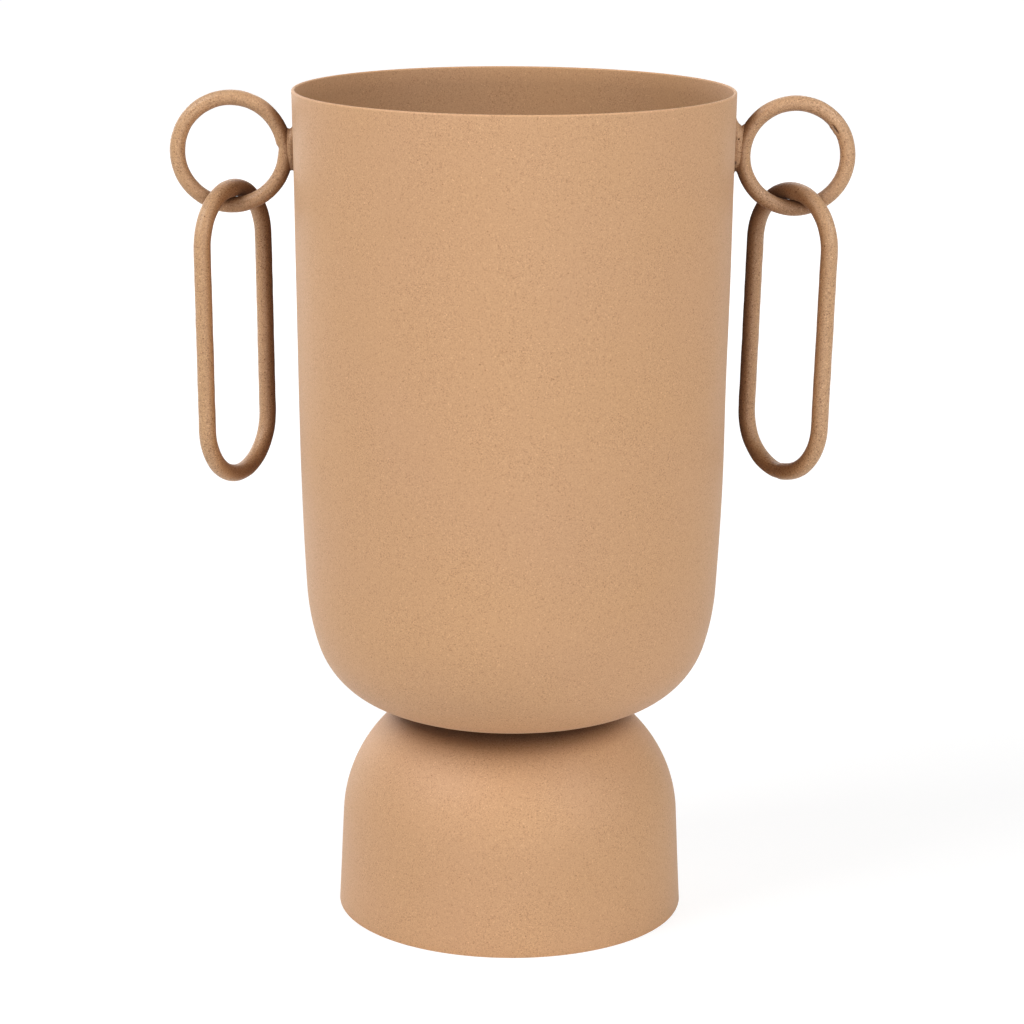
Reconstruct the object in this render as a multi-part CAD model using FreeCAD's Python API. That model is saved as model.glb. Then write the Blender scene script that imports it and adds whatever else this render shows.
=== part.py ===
import FreeCAD, Part
import math
import os

# Urn vase: a spun sheet bowl on a spun sheet foot, a rod ring welded to each side of the
# bowl, and a long rod link that hangs loose in each ring.
# Millimetres, +Z up. The origin is the centre of the foot's base, and the rings stand along X.

Vector = FreeCAD.Vector
ORIGIN = Vector(0, 0, 0)
ALONG_X = Vector(1, 0, 0)
ALONG_Y = Vector(0, 1, 0)
ALONG_Z = Vector(0, 0, 1)
FULL_TURN = 360

# Bowl: outer sizes, with heights taken from its own flat bottom. The straight wall ends at the
# waist. Below it the outline bends ever more tightly, by the side, the shoulder and the corner.
bowl_sheet = 1.2
bowl_height = 222.7
bowl_rim_radius = 78.1
bowl_waist_radius = 76.3
bowl_waist_height = 100.9
bowl_side_share = 0.9732
bowl_side_height = 43.5
bowl_shoulder_share = 0.9241
bowl_shoulder_height = 22.9

# Foot: an open dome, with the straight skirt below and a flat crown that carries the bowl
foot_sheet = 1.2
foot_height = 77.3
foot_base_radius = 63.2
foot_skirt_radius = 61.4
foot_dome_rise = 42.1
foot_crown_radius = 33.9
foot_crown_fillet = 6.9

# Neck weld: a bead round the crevice between bowl and foot
neck_bead_radius = 2.2

# Rings: rod bent round and closed on itself, standing in the plane of the vase's axis. They are
# bent by hand, so the right one is a little smaller and lower than the left one.
ring_rod = 5.5
left_bend_radius = 18.95
right_bend_radius = 18.5
left_ring_drop = 22.5
right_ring_drop = 22.9
ring_root_gap = 0.15

# Ring welds: one bead that wraps the rod where it meets the wall, rippled along its length
weld_bead_radius = 3.3
weld_bead_reach = 1.0
left_weld_length = 14.2
left_weld_rise = 0.4
right_weld_length = 13.4
right_weld_rise = 4.2
weld_ripple_pitch = 1.8
weld_ripple_share = 0.07

# Links: a straight-sided loop of rod, closed round the ring
link_rod = 6.1
link_bend_radius = 19.4
left_link_straight = 64.3
right_link_straight = 62.7
link_hang_gap = 0.25
link_wall_gap = 3.0

# How each link has come to rest, in degrees: its turn about the vertical, and its lean
# towards the bowl
left_turn_degrees = 61.1
right_turn_degrees = -52.5
left_lean_degrees = 0.7
right_lean_degrees = 1.5

# Worked out from the sizes above
vase_height = foot_height + bowl_height
wall_lean = -math.atan2(bowl_rim_radius - bowl_waist_radius, bowl_height - bowl_waist_height)


def normal_at(lean):
    """The outward normal that leans up from level by an angle in radians."""
    return Vector(math.cos(lean), 0, math.sin(lean))


def station(radius, height, lean):
    """A point of an outline with its outward normal."""
    return Vector(radius, 0, height), normal_at(lean)


def arc_run(centre, radius, first_lean, last_lean):
    """Three stations along an arc whose normal turns from first_lean to last_lean."""
    leans = (first_lean, (first_lean + last_lean) / 2, last_lean)
    return [(centre + normal_at(lean) * radius, normal_at(lean)) for lean in leans]


def outline_edges(runs, depth):
    """Edges of an outline set in by depth: two stations make a line, three make an arc."""
    edges = []
    for run in runs:
        points = [point - normal * depth for point, normal in run]
        if len(points) == 2:
            edges.append(Part.LineSegment(*points).toShape())
        else:
            edges.append(Part.Arc(*points).toShape())
    return edges


def spun(edges):
    """The solid that a closed outline sweeps in a full turn about the vertical through its origin."""
    face = Part.Face(Part.Wire(Part.__sortEdges__(edges)))
    return face.revolve(ORIGIN, ALONG_Z, FULL_TURN)


def line(first, last):
    return Part.LineSegment(first, last).toShape()


def tangent_circle(start, end):
    """Centre and radius of the circle that is square to a station's normal and meets a point."""
    point, normal = start
    chord = end - point
    radius = -chord.dot(chord) / (2 * chord.dot(normal))
    return point - normal * radius, radius


def arc_to_point(start, end):
    """The arc that carries on smoothly from a station and ends at a point."""
    normal = start[1]
    centre, radius = tangent_circle(start, end)
    end_normal = (end - centre) / radius
    return arc_run(centre, radius, math.atan2(normal.z, normal.x), math.atan2(end_normal.z, end_normal.x))


def arc_to_level(start, height):
    """The arc that carries on smoothly from a station and runs out level at a height below it."""
    point, normal = start
    radius = (point.z - height) / (1 + normal.z)
    return arc_run(point - normal * radius, radius, math.atan2(normal.z, normal.x), -math.pi / 2)


def bowl_outline():
    """The bowl's outer outline, from just under the lip to the middle of the flat bottom."""
    lip = bowl_sheet / 2
    top = station(bowl_rim_radius, vase_height - lip + lip * math.sin(wall_lean), wall_lean)
    waist = station(bowl_waist_radius, foot_height + bowl_waist_height, wall_lean)
    side_end = Vector(bowl_waist_radius * bowl_side_share, 0, foot_height + bowl_side_height)
    side = arc_to_point(waist, side_end)
    shoulder_end = Vector(bowl_waist_radius * bowl_shoulder_share, 0, foot_height + bowl_shoulder_height)
    shoulder = arc_to_point(side[-1], shoulder_end)
    corner = arc_to_level(shoulder[-1], foot_height)
    flat_middle = station(0, foot_height, -math.pi / 2)
    return [(top, waist), side, shoulder, corner, (corner[-1], flat_middle)]


def bowl_shell():
    """The bowl: one wall of sheet with a rounded lip."""
    runs = bowl_outline()
    outer = outline_edges(runs, 0)
    inner = outline_edges(runs, bowl_sheet)
    point, normal = runs[0][0]
    along_wall = Vector(-normal.z, 0, normal.x)
    lip_top = point - normal * (bowl_sheet / 2) + along_wall * (bowl_sheet / 2)
    lip = Part.Arc(point, lip_top, point - normal * bowl_sheet).toShape()
    bottom = Vector(0, 0, foot_height)
    axis = line(bottom, bottom + ALONG_Z * bowl_sheet)
    return spun(outer + inner + [lip, axis])


def bowl_body():
    """The space that the bowl fills with its inside, for trimming what is welded to it."""
    runs = bowl_outline()
    rim = runs[0][0][0]
    lid_middle = Vector(0, 0, rim.z)
    bottom = Vector(0, 0, foot_height)
    return spun(outline_edges(runs, 0) + [line(rim, lid_middle), line(lid_middle, bottom)])


def foot_outline():
    """The foot's outer outline, from the middle of the crown to the top of the skirt."""
    skirt_height = foot_height - foot_dome_rise
    skirt_lean = math.atan2(foot_base_radius - foot_skirt_radius, skirt_height)
    skirt_top = station(foot_skirt_radius, skirt_height, skirt_lean)
    crown_edge = Vector(foot_crown_radius, 0, foot_height)
    dome_centre, dome_radius = tangent_circle(skirt_top, crown_edge)
    fillet_height = foot_height - foot_crown_fillet
    rise = fillet_height - dome_centre.z
    reach = math.sqrt((dome_radius - foot_crown_fillet) ** 2 - rise ** 2)
    fillet_centre = Vector(dome_centre.x + reach, 0, fillet_height)
    join_lean = math.atan2(rise, reach)
    crown_middle = station(0, foot_height, math.pi / 2)
    flat_edge = station(fillet_centre.x, foot_height, math.pi / 2)
    return [
        (crown_middle, flat_edge),
        arc_run(fillet_centre, foot_crown_fillet, math.pi / 2, join_lean),
        arc_run(dome_centre, dome_radius, join_lean, skirt_lean),
    ]


def foot_shell():
    """The foot: one wall of sheet, open below, that rests on its cut edge."""
    runs = foot_outline()
    outer = outline_edges(runs, 0)
    inner = outline_edges(runs, foot_sheet)
    skirt_top, skirt_normal = runs[-1][-1]
    base_outer = Vector(foot_base_radius, 0, 0)
    base_inner = Vector(foot_base_radius - foot_sheet / skirt_normal.x, 0, 0)
    skirt = [
        line(skirt_top, base_outer),
        line(base_outer, base_inner),
        line(base_inner, skirt_top - skirt_normal * foot_sheet),
    ]
    crown = Vector(0, 0, foot_height)
    axis = line(crown, crown - ALONG_Z * foot_sheet)
    return spun(outer + inner + skirt + [axis])


def foot_body():
    """The space that the foot fills with its inside, for trimming the neck weld."""
    runs = foot_outline()
    base_outer = Vector(foot_base_radius, 0, 0)
    skirt = [line(runs[-1][-1][0], base_outer), line(base_outer, ORIGIN)]
    axis = line(ORIGIN, Vector(0, 0, foot_height))
    return spun(outline_edges(runs, 0) + skirt + [axis])


def neck_weld():
    """The bead in the crevice under the bowl, trimmed to the bowl and to the foot."""
    bead_ring = foot_crown_radius + neck_bead_radius
    bead = Part.makeTorus(bead_ring, neck_bead_radius, Vector(0, 0, foot_height), ALONG_Z)
    return bead.cut([bowl_body(), foot_body()])


def wall_radius(height):
    """The outer radius of the bowl's tapered wall at a height above the base."""
    return bowl_waist_radius - (height - foot_height - bowl_waist_height) * math.tan(wall_lean)


def ring_height(side):
    """The height of a ring's centre; side is -1 at the left and 1 at the right."""
    return vase_height - (left_ring_drop if side < 0 else right_ring_drop)


def bend_radius(side):
    """The radius that a ring's rod is bent to, at its middle line."""
    return left_bend_radius if side < 0 else right_bend_radius


def ring_centre(side):
    height = ring_height(side)
    offset = wall_radius(height) + ring_root_gap + ring_rod / 2 + bend_radius(side)
    return Vector(side * offset, 0, height)


def ring(side):
    return Part.makeTorus(bend_radius(side), ring_rod / 2, ring_centre(side), ALONG_Y)


def bead_outline(length):
    """Half the outline of a rippled bead, in its own frame, from its lower end to its upper end."""
    radius = weld_bead_radius
    middle = length / 2 - radius
    ripples = max(1, round(2 * middle / weld_ripple_pitch))
    shoulder = Vector(radius * math.sin(math.pi / 4), 0, middle + radius * math.cos(math.pi / 4))
    lower_shoulder = Vector(shoulder.x, 0, -shoulder.z)
    lower_end = Vector(0, 0, -length / 2)
    upper_end = Vector(0, 0, length / 2)
    valleys = [Vector(radius, 0, middle * (2 * step / ripples - 1)) for step in range(ripples + 1)]
    edges = [Part.Arc(lower_end, lower_shoulder, valleys[0]).toShape()]
    for low, high in zip(valleys, valleys[1:]):
        crest = (low + high) / 2 + ALONG_X * (radius * weld_ripple_share)
        edges.append(Part.Arc(low, crest, high).toShape())
    edges.append(Part.Arc(valleys[-1], shoulder, upper_end).toShape())
    return edges + [line(upper_end, lower_end)]


def ring_weld(side, length, rise):
    """A rippled bead round the rod where it meets the wall, trimmed to the bowl and to the ring.

    rise is how far the bead's middle stands above the ring's centre.
    """
    bead = spun(bead_outline(length))
    bead.rotate(ORIGIN, ALONG_Y, -side * math.degrees(wall_lean))
    height = ring_height(side) + rise
    bead.translate(Vector(side * (wall_radius(height) + weld_bead_reach), 0, height))
    return bead.cut([bowl_body(), ring(side)])


def link_loop(straight):
    """A link in its own frame, upright in the XZ plane, with its upper bend's centre at the origin."""
    section_place = ALONG_X * link_bend_radius
    section = Part.Face(Part.Wire(Part.makeCircle(link_rod / 2, section_place, ALONG_Z)))
    other_section = Part.Face(Part.Wire(Part.makeCircle(link_rod / 2, -section_place, ALONG_Z)))
    lower_centre = ALONG_Z * -straight
    lower_section = section.translated(lower_centre)
    half_turn = FULL_TURN / 2
    upper_bend = section.revolve(ORIGIN, -ALONG_Y, half_turn)
    lower_bend = lower_section.revolve(lower_centre, ALONG_Y, half_turn)
    legs = [face.extrude(lower_centre) for face in (section, other_section)]
    return upper_bend.fuse([lower_bend] + legs).removeSplitter()


def free_lean(pivot, turn, lean):
    """A link's lean towards the bowl, or as much of it as the bowl's waist leaves room for."""
    half_width = link_bend_radius * math.cos(math.radians(turn)) + link_rod / 2
    room = abs(pivot.x) - half_width - bowl_waist_radius - link_wall_gap
    drop = pivot.z - foot_height - bowl_waist_height
    return min(lean, math.degrees(math.atan2(room, drop)))


def link(side, straight, turn, lean):
    """A link hung in its ring, turned about the vertical and leaning towards the bowl."""
    pivot = ring_centre(side) - ALONG_Z * bend_radius(side)
    hang = ring_rod / 2 + link_hang_gap + link_rod / 2
    hung = link_loop(straight)
    hung.rotate(ORIGIN, ALONG_Z, turn)
    hung.translate(pivot + ALONG_Z * (hang - link_bend_radius))
    hung.rotate(pivot, ALONG_Y, side * free_lean(pivot, turn, lean))
    return hung


nodes = {
    "bowl_shell": bowl_shell(),
    "foot_shell": foot_shell(),
    "neck_weld": neck_weld(),
    "ring_left": ring(-1),
    "ring_right": ring(1),
    "ring_weld_left": ring_weld(-1, left_weld_length, left_weld_rise),
    "ring_weld_right": ring_weld(1, right_weld_length, right_weld_rise),
    "link_left": link(-1, left_link_straight, left_turn_degrees, left_lean_degrees),
    "link_right": link(1, right_link_straight, right_turn_degrees, right_lean_degrees),
}

os.makedirs("parts", exist_ok=True)
for name, shape in nodes.items():
    shape.exportStep(f"parts/{name}.step")
    box = shape.BoundBox
    print(name, "solids", len(shape.Solids), "valid", shape.isValid(), "volume", round(shape.Volume, 1),
          "low", round(box.ZMin, 2), "high", round(box.ZMax, 2), "faces", len(shape.Faces))
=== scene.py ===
import math
from collections import namedtuple

import bpy
import numpy as np
from mathutils import Matrix, Vector


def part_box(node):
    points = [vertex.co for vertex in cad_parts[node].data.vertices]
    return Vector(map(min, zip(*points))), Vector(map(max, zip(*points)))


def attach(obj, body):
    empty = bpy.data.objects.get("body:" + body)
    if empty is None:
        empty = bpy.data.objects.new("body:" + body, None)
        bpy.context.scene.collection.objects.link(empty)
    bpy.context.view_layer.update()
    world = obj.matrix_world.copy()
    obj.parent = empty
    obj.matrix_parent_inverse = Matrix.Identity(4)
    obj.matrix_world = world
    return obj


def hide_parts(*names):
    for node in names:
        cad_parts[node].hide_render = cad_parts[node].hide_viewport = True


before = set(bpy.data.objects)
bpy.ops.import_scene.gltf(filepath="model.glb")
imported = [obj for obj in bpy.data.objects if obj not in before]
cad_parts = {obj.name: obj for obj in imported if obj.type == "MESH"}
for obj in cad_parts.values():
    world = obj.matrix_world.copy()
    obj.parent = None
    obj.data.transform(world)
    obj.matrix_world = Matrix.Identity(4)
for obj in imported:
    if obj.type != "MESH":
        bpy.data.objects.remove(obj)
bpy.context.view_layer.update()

# Urn vase in fine-textured tan powder coat: a spun bowl on a spun foot, with a rod ring welded
# to each side of the bowl and a long rod link hanging loose in each ring.
# Metres throughout, +Z up, the rings to the left and right along X, the front towards -Y.

MM = 0.001

Link = namedtuple("Link", "straight turn lean joint_depth seed")
Weld = namedtuple("Weld", "rise length cover blend thin_below pits crease seed")
Pit = namedtuple("Pit", "out y up radius")
# A weld's broken line of painted shade: where it runs and how dark it is
Crease = namedtuple("Crease", "out high low darkness")
Coat = namedtuple("Coat", "name colour grain contrast relief roughness sheen reach crevice")
Lamp = namedtuple("Lamp", "name azimuth elevation power")

# Camera, as it stood for the photograph; its lens and sensor are in millimetres
camera_distance = 1.116
camera_height = 0.4225
camera_offset = 0.0001
camera_pitch = math.radians(13.86)
camera_roll = math.radians(0.35)
camera_lens = 111.55
camera_sensor = 36

# Heights of the bowl's flat bottom and of its lip, from the frame
bowl_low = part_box("bowl_shell")[0].z
bowl_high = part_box("bowl_shell")[1].z

# Bowl and foot, spun from sheet: the outer sizes of their outlines. The bowl's heights start at its
# bottom, and its two shares are of the waist's radius. The dome's rise ends at the foot's crown.
sheet = 1.2 * MM
bowl_rim_radius = 78.1 * MM
bowl_waist_radius = 76.3 * MM
bowl_waist_height = 100.9 * MM
bowl_side_share = 0.9732
bowl_side_height = 43.5 * MM
bowl_shoulder_share = 0.9241
bowl_shoulder_height = 22.9 * MM
foot_base_radius = 63.2 * MM
foot_skirt_radius = 61.4 * MM
foot_dome_rise = 42.1 * MM
foot_crown_radius = 33.9 * MM
foot_crown_fillet = 6.9 * MM
cut_edge_round = 0.25 * MM
wall_lean = -math.atan2(bowl_rim_radius - bowl_waist_radius, bowl_high - bowl_low - bowl_waist_height)

# How finely the spun pieces are drawn
spun_stations = 360
arc_step = 1.6 * MM
arc_steps_least = 4
wall_step = 6 * MM
lip_points = 13
cut_edge_points = 5
cap_radius = 0.5 * MM

# How far the spun walls are from true; the shift keeps them inside the CAD model's box
wall_wave_height = 0.07 * MM
wall_wave_length = 45 * MM
wall_wave_shift = 0.35
bowl_seed = 71
foot_seed = 81

# The depth below the lip at which the painted shade inside the bowl is full
inside_shade_depth = 5 * MM

# Rings and links: stations along the rod and points round it
ring_stations = 360
link_stations = 480
rod_points = 72
left_ring_seed = 11
right_ring_seed = 21

# Joint of the left ring: the lower end of the rod stops a little further out than the upper end.
# Angles round a ring start at +X and rise through +Z.
left_joint_angle = math.radians(7)
left_joint_blend = math.radians(2)
left_lower_rise = 0.22 * MM
left_upper_drop = 0.2 * MM
left_joint_reach = math.radians(55)
left_corner_flat = 0.35 * MM
left_corner_reach = math.radians(7)

# Joint of the right ring: a small lip on the inner side, with a crease between it and the rod.
# Angles round the rod start at its outer side and rise through the front.
right_joint_angle = math.radians(35)
lip_rise = 0.2 * MM
lip_half_length = 2.1 * MM
lip_edge = 0.35 * MM
lip_focus = 3
lip_crease_turn = math.radians(132)
lip_crease_width = math.radians(10)
lip_crease_depth = 0.55 * MM

# Links: the rod, the bends, and how each link has come to rest. The right one's lower bend has a
# joint, a groove with a flat spot beside it, at a share of the way round the link.
link_rod = 6.1 * MM
link_bend_radius = 19.4 * MM
link_hang_gap = 0.25 * MM
left_link = Link(
    straight=64.3 * MM,
    turn=math.radians(61.1),
    lean=math.radians(0.7),
    joint_depth=0,
    seed=31,
)
right_link = Link(
    straight=62.7 * MM,
    turn=math.radians(-52.5),
    lean=math.radians(1.5),
    joint_depth=0.35 * MM,
    seed=41,
)
link_joint_share = 0.622
link_groove_width = 0.9 * MM
link_groove_share = 0.5
link_flat_offset = 2 * MM
link_flat_width = 2.5 * MM
link_flat_focus = 6

# Where ring and link touch: a thicker coat on both, and a pad that squares off the link's inner side.
# The pad's share is of a flat face, and its angles say where it is fullest and where it ends.
contact_coat = 0.12 * MM
contact_length = 4 * MM
contact_pad_share = 0.7
contact_pad_turn = math.radians(32)
contact_pad_end = math.radians(55)

# Unevenness of bent rod; the shift keeps the rings inside the CAD model's box
rod_lump_height = 0.03 * MM
rod_lump_length = 7 * MM
rod_lump_shift = 0.7
rod_grain_height = 0.008 * MM
rod_grain_length = 1.6 * MM

# Welds of the rings: half-sizes outward and to the front, how far the metal sinks into the wall, the
# factor on its half-sizes at which it ends, how fast its skin thins beyond them, and its lumps. Where it
# is thin, its fillet has this share of its width, and it gets there over this run.
weld_reach = 4.2 * MM
weld_width = 2.6 * MM
weld_sink = 0.7 * MM
weld_limit = 1.15
weld_taper = 1 * MM
weld_lump_height = 0.16 * MM
weld_lump_length = 1.5 * MM
weld_thin_share = 0.25
weld_thin_run = 1.5 * MM

# The thicker middle of each weld: half-sizes outward and to the front, and upward as a share of its length
weld_bead_width = 1.7 * MM
weld_bead_front = 2.45 * MM
weld_bead_share = 0.3
weld_bead_lump_share = 0.5

# The broken line of painted shade down the front of each weld
weld_crease_width = 0.33 * MM
weld_crease_pitch = 1.4 * MM
weld_crease_unbroken = 0.6

# The grid on which the welds are drawn: its cells, the space that it leaves round them, and its half-size
# to the front as a share of theirs
weld_cell = 0.16 * MM
weld_margin = 1.5 * MM
weld_depth_share = 1.5

# The two welds. Places upward start at the ring's centre, and places outward where the ring meets the bowl.
left_weld = Weld(
    rise=1.4 * MM,
    length=14.6 * MM,
    cover=0.12 * MM,
    blend=3.2 * MM,
    thin_below=-9 * MM,
    pits=[
        Pit(out=0.2 * MM, y=-1.0 * MM, up=1.2 * MM, radius=0.35 * MM),
        Pit(out=0.3 * MM, y=-1.2 * MM, up=-1.5 * MM, radius=0.3 * MM),
    ],
    crease=Crease(out=0.45 * MM, high=6 * MM, low=-5 * MM, darkness=0.4),
    seed=51,
)
right_weld = Weld(
    rise=3.6 * MM,
    length=21 * MM,
    cover=0.3 * MM,
    blend=4.4 * MM,
    thin_below=-2.5 * MM,
    pits=[
        Pit(out=0.9 * MM, y=-2.3 * MM, up=6.0 * MM, radius=0.4 * MM),
        Pit(out=-0.2 * MM, y=-1.4 * MM, up=-2.6 * MM, radius=0.5 * MM),
        Pit(out=0, y=-1.3 * MM, up=-4.6 * MM, radius=0.4 * MM),
    ],
    crease=Crease(out=0.1 * MM, high=-1.5 * MM, low=-8 * MM, darkness=1),
    seed=61,
)

# An uneven field is the sum of this many waves, whose lengths spread by these factors
wave_count = 9
wave_shortest = 0.7
wave_longest = 1.6

# Coats, with linear colours. In crevices up to reach wide a coat gets painted shade, by stops of a place,
# from closed to open, and a level.
sheet_look = Coat(
    name="sheet_coat",
    colour=(0.60, 0.344, 0.177),
    grain=0.52 * MM,
    contrast=0.13,
    relief=0.05 * MM,
    roughness=0.6,
    sheen=0.1,
    reach=12 * MM,
    crevice=[(0.15, 0.12), (0.5, 0.68), (0.72, 0.97), (0.85, 1)],
)
# The rods' coat is the sheet's paint set a little darker, as painted shade; the weld's coat follows it
rod_look = Coat(
    name="rod_coat",
    colour=(0.555, 0.323, 0.167),
    grain=0.6 * MM,
    contrast=0.24,
    relief=0.1 * MM,
    roughness=0.45,
    sheen=0.0,
    reach=45 * MM,
    crevice=[(0.0, 0.1), (0.5, 0.5), (0.88, 1)],
)
weld_look = rod_look._replace(name="weld_coat", grain=0.65 * MM, contrast=0.22, roughness=0.5)

# What all coats share. Sizes and spacings are in grains, and cast_scale is per metre. Stops are a place
# and a level; where the name ends in shares, the level departs from 1 by that share of the contrast.
grain_detail = 2
grain_roughness = 0.6
grain_shares = [(0.32, -2.2), (0.44, 0), (0.58, 0), (0.72, 1.5)]
fine_per_grain = 2.4
fine_detail = 1
fine_shares = [(0.32, -1), (0.68, 0.8)]
pit_spacing = 5.2
pit_shares = [(0.05, -2.6), (0.11, 0)]
speck_spacing = 4.3
speck_shares = [(0.05, 2.4), (0.11, 0)]
patch_size = 32
patch_detail = 3
patch_stops = [(0.36, 0.62), (0.62, 1)]
cast_scale = 16
cast_detail = 3
cast_stops = [(0.35, 0), (0.65, 1)]
cool_cast = (0.985, 0.98, 1.0)
warm_cast = (1.0, 0.995, 0.965)
plain_white = (1, 1, 1)
dark_warmth = 0.25
pit_warmth = 0.4
# Levels of the painted shade inside the bowl and of the painted highlight on its lip
inside_shade_level = 0.84
lip_highlight_level = 1.16
# Level of the painted shade along creases
painted_crease_shade_level = 0.16
paint_ior = 1.5
sheen_roughness = 0.4
roughness_changes = [(0.3, 0.1), (0.7, -0.1)]
fine_relief_share = 0.4

# Crevices: rays that look for them, stops of how dull they are, and the heights between which their
# painted shade begins, because the floor isn't to count as one
crevice_samples = 6
crevice_dullness = [(0.3, 1), (0.8, 0)]
painted_shade_start_height = 12 * MM
painted_shade_full_height = 24 * MM

# Places of the colour sockets on Blender's Mix node
mix_first = 6
mix_second = 7
mix_result = 2

# Floor: half its side, the greys that light and the camera meet, and its own glow with the distances
# from the vase between which that rises to full white
floor_half = 15
floor_grey = (0.92, 0.92, 0.92, 1)
floor_seen_grey = (0.3, 0.3, 0.3, 1)
floor_glow_low = 0.82
floor_glow_near = 0.35
floor_glow_far = 1.3

# Soft boxes: azimuth 0 is the camera's side and 90 the right, in degrees, and power is in watts
lamp_distance = 2.2
lamp_side = 1.2
lamp_target = Vector((0, 0, 0.15))
lamps = [
    Lamp("key_left", azimuth=-60, elevation=44, power=33.2),
    Lamp("key_right", azimuth=52, elevation=34, power=23.8),
    Lamp("front", azimuth=10, elevation=3, power=12.5),
    Lamp("rim_left", azimuth=-140, elevation=11, power=11),
    Lamp("back", azimuth=180, elevation=35, power=9),
]


def waves(points, length, seed):
    """A smooth uneven field between about -1 and 1, with bumps of about the given length."""
    draws = np.random.default_rng(seed)
    ways = draws.normal(size=(wave_count, 3))
    ways /= np.linalg.norm(ways, axis=1)[:, None]
    pitches = length * draws.uniform(wave_shortest, wave_longest, wave_count)
    phases = draws.uniform(0, 2 * math.pi, wave_count)
    total = np.zeros(points.shape[:-1])
    for way, pitch, phase in zip(ways, pitches, phases):
        total += np.sin(points @ way * (2 * math.pi / pitch) + phase)
    return total / math.sqrt(wave_count)


def bump(distance, width):
    """A smooth bump, 1 at no distance and fading to 0 over about the given width."""
    return np.exp(-(distance / width) ** 2)


def mound(distance, reach):
    """A round mound, 1 at no distance and 0 from the given reach on."""
    return np.clip(1 - (distance / reach) ** 2, 0, 1)


def step_up(distance, width):
    """A smooth step from 0 to 1 where the distance passes nought."""
    return (1 + np.tanh(distance / width)) / 2


def angle_from(angles, middle):
    """Signed angles measured from middle, within half a turn."""
    return (angles - middle + math.pi) % (2 * math.pi) - math.pi


def turns_round(count):
    """Evenly spaced angles round a full turn."""
    return np.arange(count) * (2 * math.pi / count)


def new_object(name, data):
    """An object of the scene that shows a mesh, a lamp or a camera."""
    made = bpy.data.objects.new(name, data)
    bpy.context.scene.collection.objects.link(made)
    return made


def mesh_piece(name, vertices, faces, material, body, node):
    """A smooth-shaded mesh that stands for a CAD node and rides on a body."""
    mesh = bpy.data.meshes.new(name)
    mesh.from_pydata(vertices.tolist(), [], faces)
    mesh.polygons.foreach_set("use_smooth", [True] * len(mesh.polygons))
    mesh.materials.append(material)
    piece = new_object(name, mesh)
    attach(piece, body)
    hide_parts(node)
    return piece


def point_values(piece, title, values):
    """Keeps a number for each point of a piece, which its coat reads."""
    layer = piece.data.attributes.new(title, "FLOAT", "POINT")
    layer.data.foreach_set("value", values.ravel().astype(np.float32))


def closed_tube(centres, outward, radius):
    """Vertices and faces of a tube round a closed line that lies in an upright plane along X.

    outward is a unit vector for each centre, and radius has a value for each centre and each angle
    round the tube.
    """
    count, around = radius.shape
    angles = turns_round(around)
    front = np.array([0, -1, 0])
    spokes = np.cos(angles)[None, :, None] * outward[:, None, :] + np.sin(angles)[None, :, None] * front
    vertices = centres[:, None, :] + radius[:, :, None] * spokes
    first = np.arange(count)[:, None] * around + np.arange(around)[None, :]
    along = np.roll(first, -1, axis=0)
    faces = np.stack([first, along, np.roll(along, -1, axis=1), np.roll(first, -1, axis=1)], -1)
    return vertices.reshape(-1, 3), faces.reshape(-1, 4).tolist()


def roughen(vertices, centres, seed):
    """Moves a rod's points in or out from its centres, as bent rod is uneven under its coat."""
    out = vertices - np.repeat(centres, rod_points, axis=0)
    out /= np.linalg.norm(out, axis=1)[:, None]
    lumps = rod_lump_height * (waves(vertices, rod_lump_length, seed) - rod_lump_shift)
    grain = rod_grain_height * waves(vertices, rod_grain_length, seed + 1)
    return vertices + out * (lumps + grain)[:, None]


def normal_at(leans):
    """Unit normals of an outline, from how far they lean up from level."""
    return np.stack([np.cos(leans), np.sin(leans)], -1)


def lean_of(normal):
    """How far a normal of an outline leans up from level."""
    return math.atan2(normal[1], normal[0])


def along_line(first, last, normal):
    """Points of a straight stretch of an outline, with their outward normals."""
    count = max(1, round(math.dist(first, last) / wall_step))
    share = np.linspace(0, 1, count + 1)[:, None]
    return first * (1 - share) + last * share, np.tile(normal, (count + 1, 1))


def along_arc(centre, radius, first_lean, last_lean):
    """Points of an arc of an outline, with their outward normals."""
    count = max(arc_steps_least, round(radius * abs(last_lean - first_lean) / arc_step))
    normals = normal_at(np.linspace(first_lean, last_lean, count + 1))
    return centre + radius * normals, normals


def joined(runs):
    """One run of points and normals, with the points that two runs share given once."""
    parts = [slice(None, -1)] * (len(runs) - 1) + [slice(None)]
    points = np.concatenate([run[0][part] for run, part in zip(runs, parts)])
    normals = np.concatenate([run[1][part] for run, part in zip(runs, parts)])
    return points, normals


def tangent_circle(first, normal, last):
    """Centre and radius of the circle that is square to a point's normal and meets another point."""
    chord = last - first
    radius = -(chord @ chord) / (2 * chord @ normal)
    return first - normal * radius, radius


def arc_to_point(run, last):
    """The arc that carries on smoothly from the end of a run and ends at a point."""
    first, normal = run[0][-1], run[1][-1]
    centre, radius = tangent_circle(first, normal, last)
    return along_arc(centre, radius, lean_of(normal), lean_of((last - centre) / radius))


def arc_to_level(run, height):
    """The arc that carries on smoothly from the end of a run and runs out level at a height."""
    first, normal = run[0][-1], run[1][-1]
    radius = (first[1] - height) / (1 + normal[1])
    return along_arc(first - normal * radius, radius, lean_of(normal), -math.pi / 2)


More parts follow.
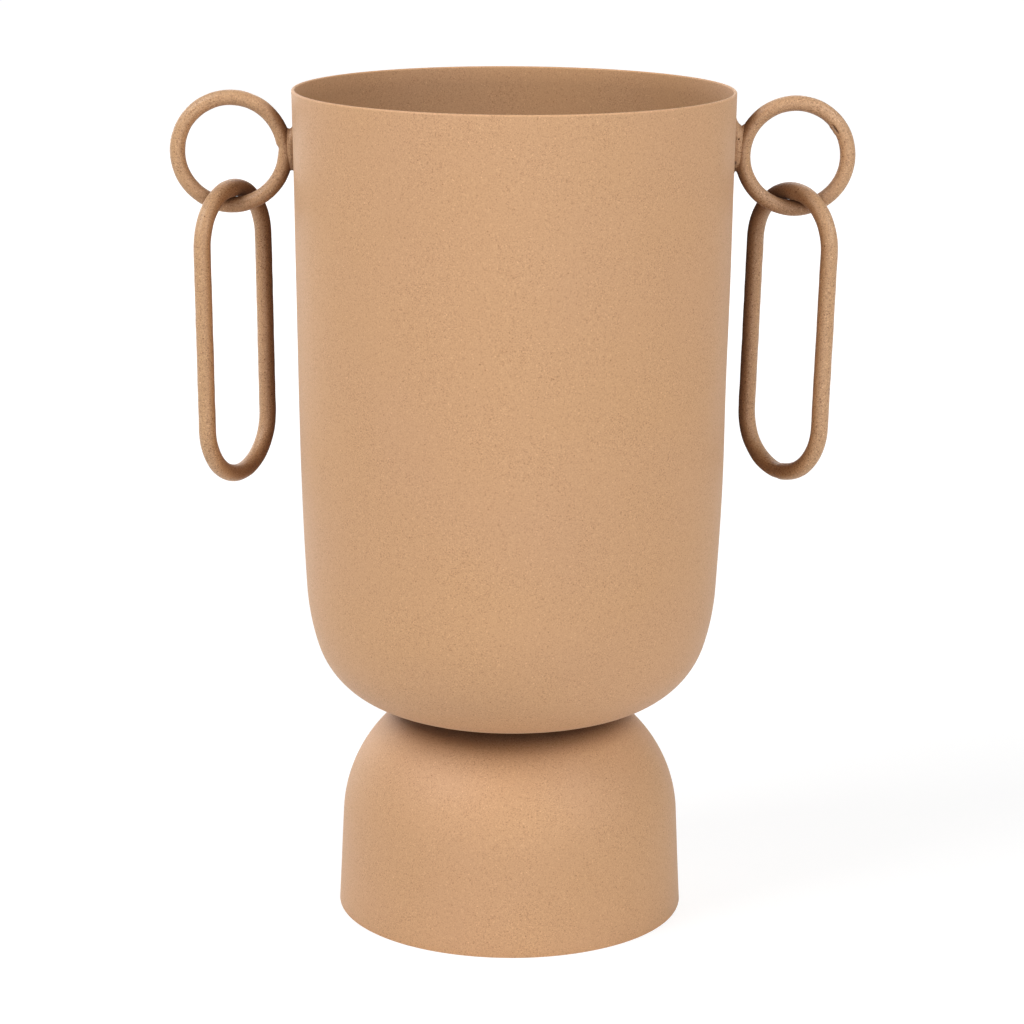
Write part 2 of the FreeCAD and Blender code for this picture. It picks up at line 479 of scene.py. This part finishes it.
def bowl_outline():
    """Outer points and normals of the bowl, from under the lip down to the middle of its bottom."""
    lip = sheet / 2
    top = np.array([bowl_rim_radius, bowl_high - lip + lip * math.sin(wall_lean)])
    waist = np.array([bowl_waist_radius, bowl_low + bowl_waist_height])
    side_end = np.array([bowl_waist_radius * bowl_side_share, bowl_low + bowl_side_height])
    shoulder_end = np.array([bowl_waist_radius * bowl_shoulder_share, bowl_low + bowl_shoulder_height])
    middle = np.array([cap_radius, bowl_low])
    wall = along_line(top, waist, normal_at(wall_lean))
    side = arc_to_point(wall, side_end)
    shoulder = arc_to_point(side, shoulder_end)
    corner = arc_to_level(shoulder, bowl_low)
    bottom = along_line(corner[0][-1], middle, normal_at(-math.pi / 2))
    return joined([wall, side, shoulder, corner, bottom])


def foot_outline():
    """Outer points and normals of the foot, from the middle of its crown down to its cut edge."""
    skirt_height = bowl_low - foot_dome_rise
    skirt_lean = math.atan2(foot_base_radius - foot_skirt_radius, skirt_height)
    skirt_top = np.array([foot_skirt_radius, skirt_height])
    skirt_normal = normal_at(skirt_lean)
    crown_edge = np.array([foot_crown_radius, bowl_low])
    dome_centre, dome_radius = tangent_circle(skirt_top, skirt_normal, crown_edge)
    rise = bowl_low - foot_crown_fillet - dome_centre[1]
    reach = math.sqrt((dome_radius - foot_crown_fillet) ** 2 - rise ** 2)
    fillet_centre = dome_centre + np.array([reach, rise])
    join_lean = math.atan2(rise, reach)
    up = math.pi / 2
    middle = np.array([cap_radius, bowl_low])
    crown = along_line(middle, np.array([fillet_centre[0], bowl_low]), normal_at(up))
    fillet = along_arc(fillet_centre, foot_crown_fillet, up, join_lean)
    dome = along_arc(dome_centre, dome_radius, join_lean, skirt_lean)
    down_skirt = np.array([skirt_normal[1], -skirt_normal[0]])
    edge = skirt_top + down_skirt * (skirt_height - cut_edge_round) / skirt_normal[0]
    return joined([crown, fillet, dome, along_line(skirt_top, edge, skirt_normal)])


def rounded_edge(outer, inner, way, corner):
    """Points round a cut edge from the outer face to the inner one; way points out past the edge."""
    across = inner - outer
    across /= np.linalg.norm(across)
    turns = np.linspace(0, math.pi / 2, cut_edge_points)[:, None]
    first = outer + corner * (across * (1 - np.cos(turns)) + way * np.sin(turns))
    last = inner + corner * (way * np.cos(turns) - across * (1 - np.sin(turns)))
    return np.concatenate([first[1:], last[:-1]])


def spun_piece(name, node, loop, inside_shade, lip_highlight, seed, material):
    """Spins a loop of outline points, which starts and ends beside the axis, into a closed wall.

    For each point of the loop, the two rows that follow the loop say how much painted shade and how much
    painted highlight it gets, from 0 to 1. The wall's waves die away near the axis.
    """
    turns = turns_round(spun_stations)
    ways = np.stack([np.cos(turns), np.sin(turns), np.zeros_like(turns)], -1)[None]
    circles = loop[:, 0][:, None, None] * ways + loop[:, 1][:, None, None] * np.array([0, 0, 1])
    wave = wall_wave_height * (waves(circles, wall_wave_length, seed)[..., None] - wall_wave_shift)
    fade = np.clip(loop[:, 0] / foot_crown_radius, 0, 1)[:, None, None] ** 2
    vertices = (circles + ways * wave * fade).reshape(-1, 3)
    last = (len(loop) - 1) * spun_stations
    first = np.arange(last).reshape(-1, spun_stations)
    following = first + spun_stations
    faces = np.stack([first, np.roll(first, -1, axis=1), np.roll(following, -1, axis=1), following], -1)
    caps = [list(range(spun_stations))[::-1], list(range(last, last + spun_stations))]
    faces = faces.reshape(-1, 4).tolist() + caps
    piece = mesh_piece(name, vertices, faces, material, "urn", node)
    point_values(piece, "painted_inside_shade", np.repeat(inside_shade, spun_stations))
    point_values(piece, "painted_lip_highlight", np.repeat(lip_highlight, spun_stations))


def bowl_piece(material):
    """The bowl, with a painted highlight on its round lip and painted shade inside, below the lip."""
    points, normals = bowl_outline()
    lip_middle = points[0] - normals[0] * sheet / 2
    lip = lip_middle + sheet / 2 * normal_at(np.linspace(wall_lean, wall_lean + math.pi, lip_points)[1:-1])
    inner = points - normals * sheet
    loop = np.concatenate([points[::-1], lip, inner])
    depth = np.clip((points[0][1] - points[:, 1]) / inside_shade_depth, 0, 1)
    inside_shade = np.concatenate([np.zeros(len(points) + len(lip)), depth])
    lip_highlight = np.concatenate([np.zeros(len(points)), np.ones(len(lip)), np.zeros(len(inner))])
    spun_piece("bowl", "bowl_shell", loop, inside_shade, lip_highlight, bowl_seed, material)


def foot_piece(material):
    """The foot, with its inner face brought down as far as the outer one before the cut edge."""
    points, normals = foot_outline()
    inner = points - normals * sheet
    down = points[-1] - points[-2]
    inner[-1] += down * (points[-1][1] - inner[-1][1]) / down[1]
    edge = rounded_edge(points[-1], inner[-1], np.array([0, -1]), cut_edge_round)
    loop = np.concatenate([points, edge, inner[::-1]])[::-1]
    plain = np.zeros(len(loop))
    spun_piece("foot", "foot_shell", loop, plain, plain, foot_seed, material)


def ring_place(node):
    """Centre, bend radius and rod radius of a ring, read from its CAD node's box."""
    low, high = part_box(node)
    rod = high.y - low.y
    return (low + high) / 2, (high.z - low.z - rod) / 2, rod / 2


def left_ring_form(angles, bend_radius, rod_radius):
    """Bend radius and rod half-widths at each angle, with the step where the rod's ends meet."""
    beyond = angle_from(angles, left_joint_angle)
    upper = step_up(beyond, left_joint_blend)
    shift = (left_lower_rise * (1 - upper) - left_upper_drop * upper) * mound(beyond, left_joint_reach)
    flat = left_corner_flat * (1 - upper) * bump(beyond, left_corner_reach)
    return bend_radius + shift + flat / 2, rod_radius - flat / 2, np.full_like(angles, rod_radius)


def right_ring_form(angles, bend_radius, rod_radius):
    """Bend radius and rod half-widths at each angle of the plain right ring."""
    plain = np.full_like(angles, rod_radius)
    return np.full_like(angles, bend_radius), plain, plain


def inner_side(around):
    """A row of values round a bent rod, 1 on its inner side and 0 on its outer side."""
    return ((1 - np.cos(around)) / 2)[None]


def right_ring_joint(angles, around, bend_radius):
    """How far the right ring's joint stands out of the rod, and its crease's painted shade, from 0 to 1."""
    along = np.abs(angle_from(angles, right_joint_angle) * bend_radius)[:, None]
    crease = bump(angle_from(around, lip_crease_turn), lip_crease_width)[None]
    lip = lip_rise * inner_side(around) ** lip_focus * (1 - crease)
    rise = step_up(lip_half_length - along, lip_edge) * (lip - lip_crease_depth * crease)
    return rise, mound(along, lip_half_length) * crease


def ring_piece(name, node, form, joint, seed, material):
    """A ring of bent rod; joint, if there is one, adds its lip and crease, with painted shade in the
    crease.
    """
    centre, bend_radius, rod_radius = ring_place(node)
    angles = turns_round(ring_stations)
    around = turns_round(rod_points)
    bends, radial, sideways = form(angles, bend_radius, rod_radius)
    outward = np.stack([np.cos(angles), np.zeros_like(angles), np.sin(angles)], -1)
    centres = np.array(centre) + bends[:, None] * outward
    radius = 1 / np.hypot(np.cos(around)[None] / radial[:, None], np.sin(around)[None] / sideways[:, None])
    crease = np.zeros_like(radius)
    if joint is not None:
        rise, crease = joint(angles, around, bend_radius)
        radius = radius + rise
    contact = angle_from(angles, -math.pi / 2) * bend_radius
    radius = radius + contact_coat * bump(contact, contact_length)[:, None]
    vertices, faces = closed_tube(centres, outward, radius)
    vertices = roughen(vertices, centres, seed)
    piece = mesh_piece(name, vertices, faces, material, "urn", node)
    # Painted shade along the joint's crease, where there is one
    point_values(piece, "painted_crease_shade", crease)


def loop_line(straight):
    """Centres, outward vectors and lengths so far round an upright loop; its upper bend is centred on 0."""
    bend = math.pi * link_bend_radius
    whole = 2 * (bend + straight)
    lengths = np.arange(link_stations) * (whole / link_stations)
    stretches = [lengths < bend, lengths < bend + straight, lengths < 2 * bend + straight]
    turns = [lengths / link_bend_radius, math.pi, (lengths - straight) / link_bend_radius]
    turn = np.select(stretches, turns, 2 * math.pi)
    drop = np.select(stretches, [0, lengths - bend, straight], whole - lengths)
    outward = np.stack([np.cos(turn), np.zeros_like(turn), np.sin(turn)], -1)
    centres = link_bend_radius * outward - drop[:, None] * np.array([0, 0, 1])
    return centres, outward, lengths


def link_radius(lengths, around, link):
    """Radius of a link's rod at each length and angle round it, with its joint and its contact."""
    inner = inner_side(around)
    along = lengths - 2 * (math.pi * link_bend_radius + link.straight) * link_joint_share
    groove = link_groove_share * bump(along, link_groove_width)[:, None]
    flat = bump(along + link_flat_offset, link_flat_width)[:, None] * inner ** link_flat_focus
    contact = lengths - math.pi * link_bend_radius / 2
    away = np.abs(angle_from(around, math.pi))
    pad = contact_pad_share * link_rod / 2 * (1 / np.cos(np.minimum(away, contact_pad_turn)) - 1)
    pad = pad * np.clip((contact_pad_end - away) / (contact_pad_end - contact_pad_turn), 0, 1)
    thicker = bump(contact, contact_length)[:, None] * (contact_coat * inner + pad)
    return link_rod / 2 - link.joint_depth * (groove + flat) + thicker


def link_piece(name, node, ring_node, link, material):
    """A link of bent rod that hangs in its ring, on the body of its own name."""
    ring_middle, ring_bend, ring_rod_radius = ring_place(ring_node)
    side = math.copysign(1, ring_middle.x)
    hang = ring_rod_radius + link_hang_gap + link_rod / 2
    place = (
        Matrix.Translation(ring_middle - Vector((0, 0, ring_bend)))
        @ Matrix.Rotation(side * link.lean, 4, "Y")
        @ Matrix.Translation((0, 0, hang - link_bend_radius))
        @ Matrix.Rotation(link.turn, 4, "Z")
    )
    centres, outward, lengths = loop_line(link.straight)
    radius = link_radius(lengths, turns_round(rod_points), link)
    vertices, faces = closed_tube(centres, outward, radius)
    vertices = roughen(vertices, centres, link.seed)
    vertices = vertices @ np.array(place.to_3x3()).T + np.array(place.translation)
    mesh_piece(name, vertices, faces, material, node, node)


def surface_net(field, low, high, cell):
    """Vertices and quads of the closed surface where a field is nought, found on a grid of cells."""
    axes = [np.arange(start, stop + cell, cell) for start, stop in zip(low, high)]
    grid = np.stack(np.meshgrid(*axes, indexing="ij"), -1)
    value = field(grid)
    # Smoothed once along each axis, so that no corner is narrower than a cell
    for axis in range(3):
        value = (np.roll(value, 1, axis) + 2 * value + np.roll(value, -1, axis)) / 4
    shape = tuple(size - 1 for size in value.shape)
    total = np.zeros((*shape, 3))
    count = np.zeros(shape)
    edges = []
    # A cell's vertex is the mean of the places where the surface crosses its edges, and each edge that is
    # crossed joins the vertices of the four cells round it
    for axis in range(3):
        second, third = (axis + 1) % 3, (axis + 2) % 3
        near = np.take(value, range(value.shape[axis] - 1), axis)
        far = np.take(value, range(1, value.shape[axis]), axis)
        index = np.argwhere((near < 0) != (far < 0))
        where = tuple(index.T)
        crossing = grid[where].copy()
        crossing[:, axis] += cell * near[where] / (near[where] - far[where])
        corners = []
        for back_second, back_third in ((0, 0), (1, 0), (1, 1), (0, 1)):
            corner = index.copy()
            corner[:, second] -= back_second
            corner[:, third] -= back_third
            np.add.at(total, tuple(corner.T), crossing)
            np.add.at(count, tuple(corner.T), 1)
            corners.append(corner)
        edges.append((corners, near[where] < 0))
    numbers = np.full(shape, -1)
    used = count > 0
    numbers[used] = np.arange(used.sum())
    vertices = total[used] / count[used][:, None]
    faces = []
    for corners, leaving in edges:
        quads = np.stack([numbers[tuple(corner.T)] for corner in corners], -1)
        quads[~leaving] = quads[~leaving][:, ::-1]
        faces += quads.tolist()
    return vertices, faces


def smooth_least(first, second, blend):
    """The lesser of two distances, with the corner between them filled by a fillet of the given width."""
    near = np.clip(blend - np.abs(first - second), 0, None) / blend
    return np.minimum(first, second) - near ** 2 * blend / 4


def weld_field(points, ring_node, form, weld):
    """About how far points lie outside the metal of a ring's weld, below nought where they are inside.

    The metal fills the crevice between ring and wall, and laps a little over both. Below thin_below it
    only bridges the bottom of the crevice. A bead thickens its middle, and pits are bitten out of it.
    """
    centre, bend_radius, rod_radius = ring_place(ring_node)
    side = math.copysign(1, centre.x)
    ring_out = abs(centre.x)
    out, y, up = side * points[..., 0], points[..., 1], points[..., 2] - centre.z
    out_from_gap = out - (ring_out - bend_radius - rod_radius)
    up_from_middle = up - weld.rise
    turn = np.arctan2(up, side * (out - ring_out))
    bends, radial, sideways = form(turn, bend_radius, rod_radius)
    ring_distance = np.hypot(out - ring_out, up) - bends
    rod = (np.hypot(ring_distance / radial, y / sideways) - 1) * np.minimum(radial, sideways)
    wall_radius = bowl_rim_radius + (bowl_high - points[..., 2]) * math.tan(wall_lean)
    wall = (np.hypot(out, y) - wall_radius) * math.cos(wall_lean)
    half_length = weld.length / 2
    away = (out_from_gap / weld_reach) ** 2 + (y / weld_width) ** 2 + (up_from_middle / half_length) ** 2
    lumps = weld_lump_height * waves(points, weld_lump_length, weld.seed)
    skin = (weld.cover + lumps) * (1 - away) - np.clip(away - 1, 0, None) * weld_taper
    full = step_up(up - weld.thin_below, weld_thin_run)
    blend = weld.blend * (weld_thin_share + (1 - weld_thin_share) * full)
    metal = smooth_least(rod, wall, blend) - skin * full
    bead = np.sqrt(
        (out_from_gap / weld_bead_width) ** 2
        + (y / weld_bead_front) ** 2
        + (up_from_middle / (weld.length * weld_bead_share)) ** 2
    )
    bead_distance = (bead - 1) * weld_bead_width - lumps * weld_bead_lump_share
    metal = smooth_least(metal, bead_distance, weld_bead_width)
    for pit in weld.pits:
        from_pit = np.sqrt((out_from_gap - pit.out) ** 2 + (y - pit.y) ** 2 + (up - pit.up) ** 2)
        metal = np.maximum(metal, pit.radius - from_pit)
    limit = (np.sqrt(away) - weld_limit) * weld_width
    return np.maximum(np.maximum(metal, limit), -(wall + weld_sink))


def weld_piece(name, node, ring_node, form, weld, material):
    """The weld metal between a ring and the bowl, with a broken line of painted shade down its front."""
    centre, bend_radius, rod_radius = ring_place(ring_node)
    side = math.copysign(1, centre.x)
    middle = np.array([side * (abs(centre.x) - bend_radius - rod_radius), 0, centre.z + weld.rise])
    half = np.array([weld_reach, weld_width * weld_depth_share, weld.length / 2]) + weld_margin

    def field(points):
        return weld_field(points, ring_node, form, weld)

    vertices, faces = surface_net(field, middle - half, middle + half, weld_cell)
    piece = mesh_piece(name, vertices, faces, material, "urn", node)
    crease = weld.crease
    across = side * (vertices[:, 0] - middle[0]) - crease.out
    up = vertices[:, 2] - centre.z
    below_top = np.clip((crease.high - up) / weld_crease_width, 0, 1)
    above_end = np.clip((up - crease.low) / weld_crease_width, 0, 1)
    broken = np.clip(weld_crease_unbroken + waves(vertices, weld_crease_pitch, weld.seed + 2), 0, 1)
    dark = crease.darkness * bump(across, weld_crease_width) * below_top * above_end * broken
    # Painted shade along the broken line, on the weld's front only
    point_values(piece, "painted_crease_shade", dark * (vertices[:, 1] < 0))


class Nodes:
    """Short calls for adding and joining shader nodes in an empty tree."""

    def __init__(self, tree):
        self.tree = tree
        tree.nodes.clear()

    def add(self, kind, **settings):
        node = self.tree.nodes.new("ShaderNode" + kind)
        for key, value in settings.items():
            setattr(node, key, value)
        return node

    def join(self, source, target):
        self.tree.links.new(source, target)

    def join_colour(self, source, target):
        """Joins a colour to a socket, or writes a plain one there."""
        if isinstance(source, tuple):
            target.default_value = (*source, 1)
        else:
            self.join(source, target)

    def noise(self, place, scale, detail, roughness=0.5):
        node = self.add("TexNoise")
        node.inputs["Scale"].default_value = scale
        node.inputs["Detail"].default_value = detail
        node.inputs["Roughness"].default_value = roughness
        self.join(place, node.inputs["Vector"])
        return node.outputs[0]

    def dots(self, place, spacing):
        """Distance from the nearest of many scattered points, in units of their spacing."""
        node = self.add("TexVoronoi")
        node.inputs["Scale"].default_value = 1 / spacing
        self.join(place, node.inputs["Vector"])
        return node.outputs["Distance"]

    def ramp(self, source, stops, warmth=0):
        """Maps a grey value through stops of (place, level); with warmth, darker levels are redder."""
        node = self.add("ValToRGB")
        elements = node.color_ramp.elements
        while len(elements) < len(stops):
            elements.new(0.5)
        for element, (place, level) in zip(elements, stops):
            element.position = place
            element.color = (level, level ** (1 + warmth), level ** (1 + 2 * warmth), 1)
        self.join(source, node.inputs["Fac"])
        return node.outputs["Color"]

    def marked(self, title, level, warmth=0):
        """1 where a piece's number of that title is 0, and the given level where it is 1."""
        value = self.add("Attribute", attribute_name=title).outputs["Fac"]
        return self.ramp(value, [(0, 1), (1, level)], warmth)

    def span(self, source, start, stop, low=0, high=1):
        """Maps values from start to stop onto low to high, and holds those at the ends beyond."""
        node = self.add("MapRange")
        for title, value in (("From Min", start), ("From Max", stop), ("To Min", low), ("To Max", high)):
            node.inputs[title].default_value = value
        self.join(source, node.inputs["Value"])
        return node.outputs[0]

    def greater(self, first, second):
        node = self.add("Math", operation="MAXIMUM")
        self.join(first, node.inputs[0])
        self.join(second, node.inputs[1])
        return node.outputs[0]

    def mix(self, factor, first, second):
        node = self.add("Mix", data_type="RGBA")
        self.join(factor, node.inputs["Factor"])
        self.join_colour(first, node.inputs[mix_first])
        self.join_colour(second, node.inputs[mix_second])
        return node.outputs[mix_result]

    def product(self, first, *others):
        """All the colours multiplied together."""
        for other in others:
            node = self.add("Mix", data_type="RGBA", blend_type="MULTIPLY")
            node.inputs["Factor"].default_value = 1
            self.join_colour(first, node.inputs[mix_first])
            self.join_colour(other, node.inputs[mix_second])
            first = node.outputs[mix_result]
        return first

    def seen_rays(self):
        """1 for a ray from the camera or from a glossy surface, 0 for any other."""
        path = self.add("LightPath")
        return self.greater(path.outputs["Is Camera Ray"], path.outputs["Is Glossy Ray"])

    def show(self, shader, output="OutputMaterial"):
        self.join(shader.outputs[0], self.add(output).inputs["Surface"])


def new_material(name):
    """A material without nodes, and the calls that add them."""
    material = bpy.data.materials.new(name)
    material.use_nodes = True
    return material, Nodes(material.node_tree)


def contrasted(shares, contrast):
    """Stops whose levels depart from 1 by shares of a contrast."""
    return [(place, 1 + share * contrast) for place, share in shares]


def speckle(nodes, place, grains, fine, coat):
    """Grains that are fainter in patches, with dark pits and pale specks."""
    speckled = nodes.product(
        nodes.ramp(grains, contrasted(grain_shares, coat.contrast), dark_warmth),
        nodes.ramp(fine, contrasted(fine_shares, coat.contrast), dark_warmth),
    )
    patches = nodes.noise(place, 1 / (patch_size * coat.grain), patch_detail)
    pits = nodes.dots(place, pit_spacing * coat.grain)
    specks = nodes.dots(place, speck_spacing * coat.grain)
    return nodes.product(
        nodes.mix(nodes.ramp(patches, patch_stops), plain_white, speckled),
        nodes.ramp(pits, contrasted(pit_shares, coat.contrast), pit_warmth),
        nodes.ramp(specks, contrasted(speck_shares, coat.contrast), dark_warmth),
    )


def cast(nodes, place):
    """A slight change between cooler and warmer places."""
    change = nodes.noise(place, cast_scale, cast_detail)
    return nodes.mix(nodes.ramp(change, cast_stops), cool_cast, warm_cast)


def painted_crevice_shade(nodes, place, openness, coat):
    """Painted shade in crevices, but not beside the floor."""
    height = nodes.add("SeparateXYZ")
    nodes.join(place, height.inputs[0])
    above = nodes.span(height.outputs["Z"], painted_shade_start_height, painted_shade_full_height)
    return nodes.mix(above, plain_white, nodes.ramp(openness, coat.crevice, dark_warmth))


def powder_coat(coat):
    """Fine-textured matt powder coat, rougher and with painted shade in crevices narrower than its reach.
    """
    material, nodes = new_material(coat.name)
    place = nodes.add("TexCoord").outputs["Object"]
    grains = nodes.noise(place, 1 / coat.grain, grain_detail, grain_roughness)
    fine = nodes.noise(place, fine_per_grain / coat.grain, fine_detail)
    hollow = nodes.add("AmbientOcclusion", samples=crevice_samples)
    hollow.inputs["Distance"].default_value = coat.reach
    openness = hollow.outputs["AO"]
    tint = nodes.product(
        coat.colour,
        speckle(nodes, place, grains, fine, coat),
        cast(nodes, place),
        # Painted shade in crevices, from the occlusion that the AO node finds
        painted_crevice_shade(nodes, place, openness, coat),
        # Painted shade inside the bowl and a painted highlight on its lip
        nodes.marked("painted_inside_shade", inside_shade_level),
        nodes.marked("painted_lip_highlight", lip_highlight_level),
        # Painted shade along creases
        nodes.marked("painted_crease_shade", painted_crease_shade_level, dark_warmth),
    )
    roughness_stops = [(spot, coat.roughness + change) for spot, change in roughness_changes]
    matt = nodes.greater(nodes.ramp(grains, roughness_stops), nodes.ramp(openness, crevice_dullness))
    texture = nodes.add("Math", operation="MULTIPLY_ADD")
    texture.inputs[1].default_value = fine_relief_share
    nodes.join(fine, texture.inputs[0])
    nodes.join(grains, texture.inputs[2])
    relief = nodes.add("Bump")
    relief.inputs["Strength"].default_value = 1
    relief.inputs["Distance"].default_value = coat.relief
    nodes.join(texture.outputs[0], relief.inputs["Height"])
    shader = nodes.add("BsdfPrincipled")
    shader.inputs["IOR"].default_value = paint_ior
    shader.inputs["Sheen Weight"].default_value = coat.sheen
    shader.inputs["Sheen Roughness"].default_value = sheen_roughness
    nodes.join(tint, shader.inputs["Base Color"])
    nodes.join(matt, shader.inputs["Roughness"])
    nodes.join(relief.outputs["Normal"], shader.inputs["Normal"])
    nodes.show(shader)
    return material


def dress(node_name, material):
    """Gives a CAD node that is kept a better material on its own slots."""
    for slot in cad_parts[node_name].material_slots:
        slot.material = material


def floor_material():
    """White to the camera, with a faint shadow, and plain pale grey for the light that it throws back."""
    material, nodes = new_material("floor")
    plain = nodes.add("BsdfDiffuse")
    plain.inputs["Color"].default_value = floor_grey
    seen = nodes.add("BsdfDiffuse")
    seen.inputs["Color"].default_value = floor_seen_grey
    away = nodes.add("VectorMath", operation="LENGTH")
    nodes.join(nodes.add("NewGeometry").outputs["Position"], away.inputs[0])
    glow = nodes.add("Emission")
    level = nodes.span(away.outputs["Value"], floor_glow_near, floor_glow_far, floor_glow_low)
    nodes.join(level, glow.inputs["Strength"])
    white = nodes.add("AddShader")
    nodes.join(seen.outputs[0], white.inputs[0])
    nodes.join(glow.outputs[0], white.inputs[1])
    mix = nodes.add("MixShader")
    nodes.join(nodes.seen_rays(), mix.inputs[0])
    nodes.join(plain.outputs[0], mix.inputs[1])
    nodes.join(white.outputs[0], mix.inputs[2])
    nodes.show(mix)
    return material


def white_surround():
    """A world that is white to the camera and in reflections, and gives no other light."""
    world = bpy.data.worlds.new("studio")
    world.use_nodes = True
    nodes = Nodes(world.node_tree)
    light = nodes.add("Background")
    light.inputs["Color"].default_value = (*plain_white, 1)
    nodes.join(nodes.seen_rays(), light.inputs["Strength"])
    nodes.show(light, "OutputWorld")
    bpy.context.scene.world = world


def soft_lamp(lamp):
    """A square soft box aimed at the vase's middle."""
    turn, rise = math.radians(lamp.azimuth), math.radians(lamp.elevation)
    way = Vector((math.sin(turn) * math.cos(rise), -math.cos(turn) * math.cos(rise), math.sin(rise)))
    data = bpy.data.lights.new(lamp.name, "AREA")
    data.size = lamp_side
    data.energy = lamp.power
    box = new_object(lamp.name, data)
    box.location = lamp_target + way * lamp_distance
    box.rotation_euler = way.to_track_quat("Z", "Y").to_euler()


def studio():
    """A wide white floor, a white surround and the lamps."""
    corners = [(x * floor_half, y * floor_half, 0) for x, y in ((-1, -1), (1, -1), (1, 1), (-1, 1))]
    mesh = bpy.data.meshes.new("floor")
    mesh.from_pydata(corners, [], [(0, 1, 2, 3)])
    mesh.materials.append(floor_material())
    new_object("floor", mesh)
    white_surround()
    for lamp in lamps:
        soft_lamp(lamp)


def photo_camera():
    """The camera, level but for its pitch and a slight roll."""
    data = bpy.data.cameras.new("camera")
    data.sensor_width = camera_sensor
    data.lens = camera_lens
    ahead = Vector((0, math.cos(camera_pitch), -math.sin(camera_pitch)))
    level_right = Vector((1, 0, 0))
    level_up = level_right.cross(ahead)
    right = level_right * math.cos(camera_roll) + level_up * math.sin(camera_roll)
    up = right.cross(ahead)
    turned = Matrix((right, up, -ahead)).transposed().to_4x4()
    camera = new_object("camera", data)
    camera.matrix_world = Matrix.Translation((camera_offset, -camera_distance, camera_height)) @ turned
    bpy.context.scene.camera = camera


sheet_coat = powder_coat(sheet_look)
rod_coat = powder_coat(rod_look)
weld_coat = powder_coat(weld_look)

bowl_piece(sheet_coat)
foot_piece(sheet_coat)
dress("neck_weld", weld_coat)
ring_piece("ring_left_rod", "ring_left", left_ring_form, None, left_ring_seed, rod_coat)
ring_piece("ring_right_rod", "ring_right", right_ring_form, right_ring_joint, right_ring_seed, rod_coat)
link_piece("link_left_rod", "link_left", "ring_left", left_link, rod_coat)
link_piece("link_right_rod", "link_right", "ring_right", right_link, rod_coat)
weld_piece("ring_left_weld", "ring_weld_left", "ring_left", left_ring_form, left_weld, weld_coat)
weld_piece("ring_right_weld", "ring_weld_right", "ring_right", right_ring_form, right_weld, weld_coat)

studio()
photo_camera()
bpy.context.scene.view_settings.view_transform = "Standard"
